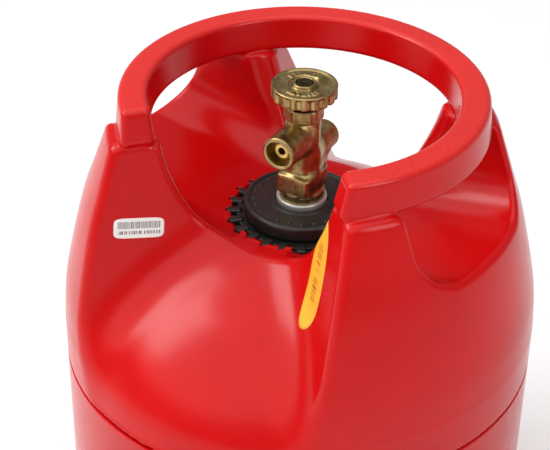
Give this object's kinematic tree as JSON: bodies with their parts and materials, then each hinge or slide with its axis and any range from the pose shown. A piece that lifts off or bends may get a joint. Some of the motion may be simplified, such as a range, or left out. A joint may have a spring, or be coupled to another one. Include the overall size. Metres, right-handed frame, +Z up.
{
  "type": "propane tank",
  "caption": "Composite gas cylinder with a moulded red jacket, a ring handle on four pillars and a brass handwheel valve.",
  "frame": {"origin": "centre of the foot, on the surface it stands on", "axes": "+Z up along the valve's axis; -Y is the front, where the handle ring is open and the outlet points"},
  "size_m": [0.305, 0.305, 0.3902],
  "materials": {
    "jacket": "glossy",
    "composite": "satin",
    "liner": "matte",
    "boss": "machined",
    "collar": "satin",
    "neck_plastic": "satin",
    "brass": "aged",
    "brass_bright": "machined",
    "rubber": "matte",
    "gasket": "matte",
    "spring_steel": "satin",
    "cushion": "foam",
    "label": "satin",
    "sticker": "satin"
  },
  "bodies": {
    "root": {"upper_casing": "jacket", "handle_ring": "jacket", "lower_casing": "jacket", "composite_shell": "composite", "inner_liner": "liner", "neck_boss": "boss", "boss_seal": "rubber", "boss_collar": "collar", "neck_ring": "neck_plastic", "valve_body": "brass", "outlet_nozzle": "brass_bright", "bonnet_nut": "brass", "bonnet_gasket": "gasket", "spindle_o_rings": "rubber", "relief_spring": "spring_steel", "relief_plug": "brass_bright", "base_cushion": "cushion", "shoulder_cushion": "cushion", "barcode_label": "label", "warning_sticker": "sticker"},
    "wheel": {"handwheel": "brass", "handwheel_nut": "brass_bright", "valve_spindle": "brass_bright"},
    "seat": {"seat_plug": "brass_bright", "seat_disc": "rubber"},
    "relief": {"relief_poppet": "brass_bright", "relief_seal": "rubber"}
  },
  "joints": [
    {"name": "handwheel_turn", "type": "hinge", "parent": "root", "child": "wheel", "pos_m": [0, 0, 0.385], "axis": [0, 0, 1], "range_deg": [0, 720]},
    {"name": "seat_lift", "type": "slide", "parent": "root", "child": "seat", "axis": [0, 0, 1], "range_m": [0, 0.0035]},
    {"name": "relief_lift", "type": "slide", "parent": "root", "child": "relief", "axis": [0, 1, 0], "range_m": [0, 0.0025], "stiffness_N_per_m": 2000, "deforming": ["relief_spring"]}
  ],
  "couplings": [
    {"joint": "seat_lift", "follows": "handwheel_turn", "m_per_rad": 0.00027852}
  ]
}
